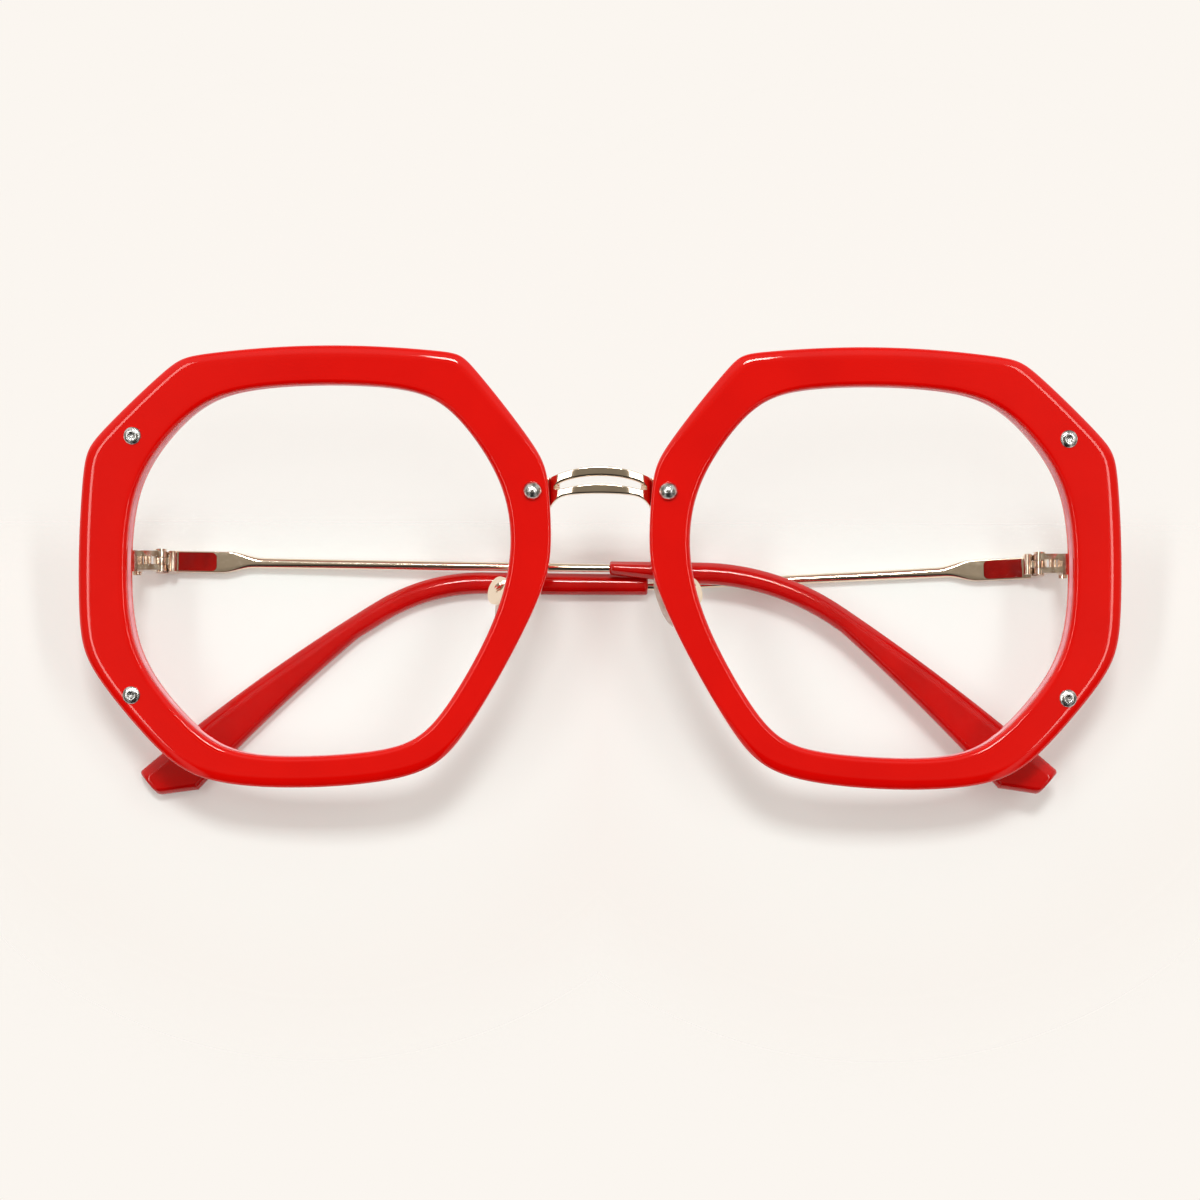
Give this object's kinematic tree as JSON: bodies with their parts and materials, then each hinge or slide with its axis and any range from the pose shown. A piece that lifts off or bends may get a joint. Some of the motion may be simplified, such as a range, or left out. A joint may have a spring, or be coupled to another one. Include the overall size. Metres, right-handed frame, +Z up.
{
  "type": "eyeglasses",
  "caption": "Polygonal eyeglasses with wrapped acetate rims, a slotted metal bridge, rocking nose pads and hinged temples, lying front up on the folded temples.",
  "frame": {"origin": "middle of the bounding box in X and Y, at the level of the table that the folded temples lie on", "axes": "+X along the front to the wearer's left, +Y to the front's upper side, +Z up from the table and out of the front face, which is tilted six degrees about X"},
  "size_m": [0.1478, 0.0625, 0.0227],
  "materials": {
    "acetate_front": "polished red acetate",
    "acetate_tip": "polished deep red acetate",
    "lens": "clear polished display lens",
    "gold_metal": "polished pale champagne plating",
    "silver_metal": "polished silver plating",
    "silicone": "clear silicone",
    "resin": "dark red gloss resin"
  },
  "bodies": {
    "front": {"rim_right": "acetate_front", "rim_left": "acetate_front", "lens_right": "lens", "lens_left": "lens", "bridge": "gold_metal", "bridge_rivet_right": "silver_metal", "bridge_rivet_left": "silver_metal", "accent_rivet_upper_right": "silver_metal", "accent_rivet_lower_right": "silver_metal", "accent_rivet_upper_left": "silver_metal", "accent_rivet_lower_left": "silver_metal", "endpiece_right": "gold_metal", "endpiece_left": "gold_metal", "hinge_screw_right": "gold_metal", "hinge_screw_left": "gold_metal", "pad_arm_right": "gold_metal", "pad_arm_left": "gold_metal", "pad_screw_right": "silver_metal", "pad_screw_left": "silver_metal"},
    "temple_right": {"temple_right": "gold_metal", "temple_inlay_right": "resin", "temple_tip_right": "acetate_tip"},
    "temple_left": {"temple_left": "gold_metal", "temple_inlay_left": "resin", "temple_tip_left": "acetate_tip"},
    "pad_right": {"nose_pad_right": "silicone", "pad_core_right": "gold_metal"},
    "pad_left": {"nose_pad_left": "silicone", "pad_core_left": "gold_metal"}
  },
  "joints": [
    {"name": "temple_right_fold", "type": "hinge", "parent": "front", "child": "temple_right", "pos_m": [-0.06364, 0.00231, 0.003], "axis": [0, 1, 0], "range_deg": [0, 95]},
    {"name": "temple_left_fold", "type": "hinge", "parent": "front", "child": "temple_left", "pos_m": [0.06364, 0.00231, 0.003], "axis": [0, -1, 0], "range_deg": [0, 93]},
    {"name": "nose_pad_right_rock", "type": "hinge", "parent": "front", "child": "pad_right", "pos_m": [-0.01341, -0.00312, 0.01206], "axis": [-0.5785, 0.2918, -0.7617], "range_deg": [-10, 10]},
    {"name": "nose_pad_left_rock", "type": "hinge", "parent": "front", "child": "pad_left", "pos_m": [0.01201, -0.00312, 0.01206], "axis": [0.5785, 0.2918, -0.7617], "range_deg": [-10, 10]}
  ]
}
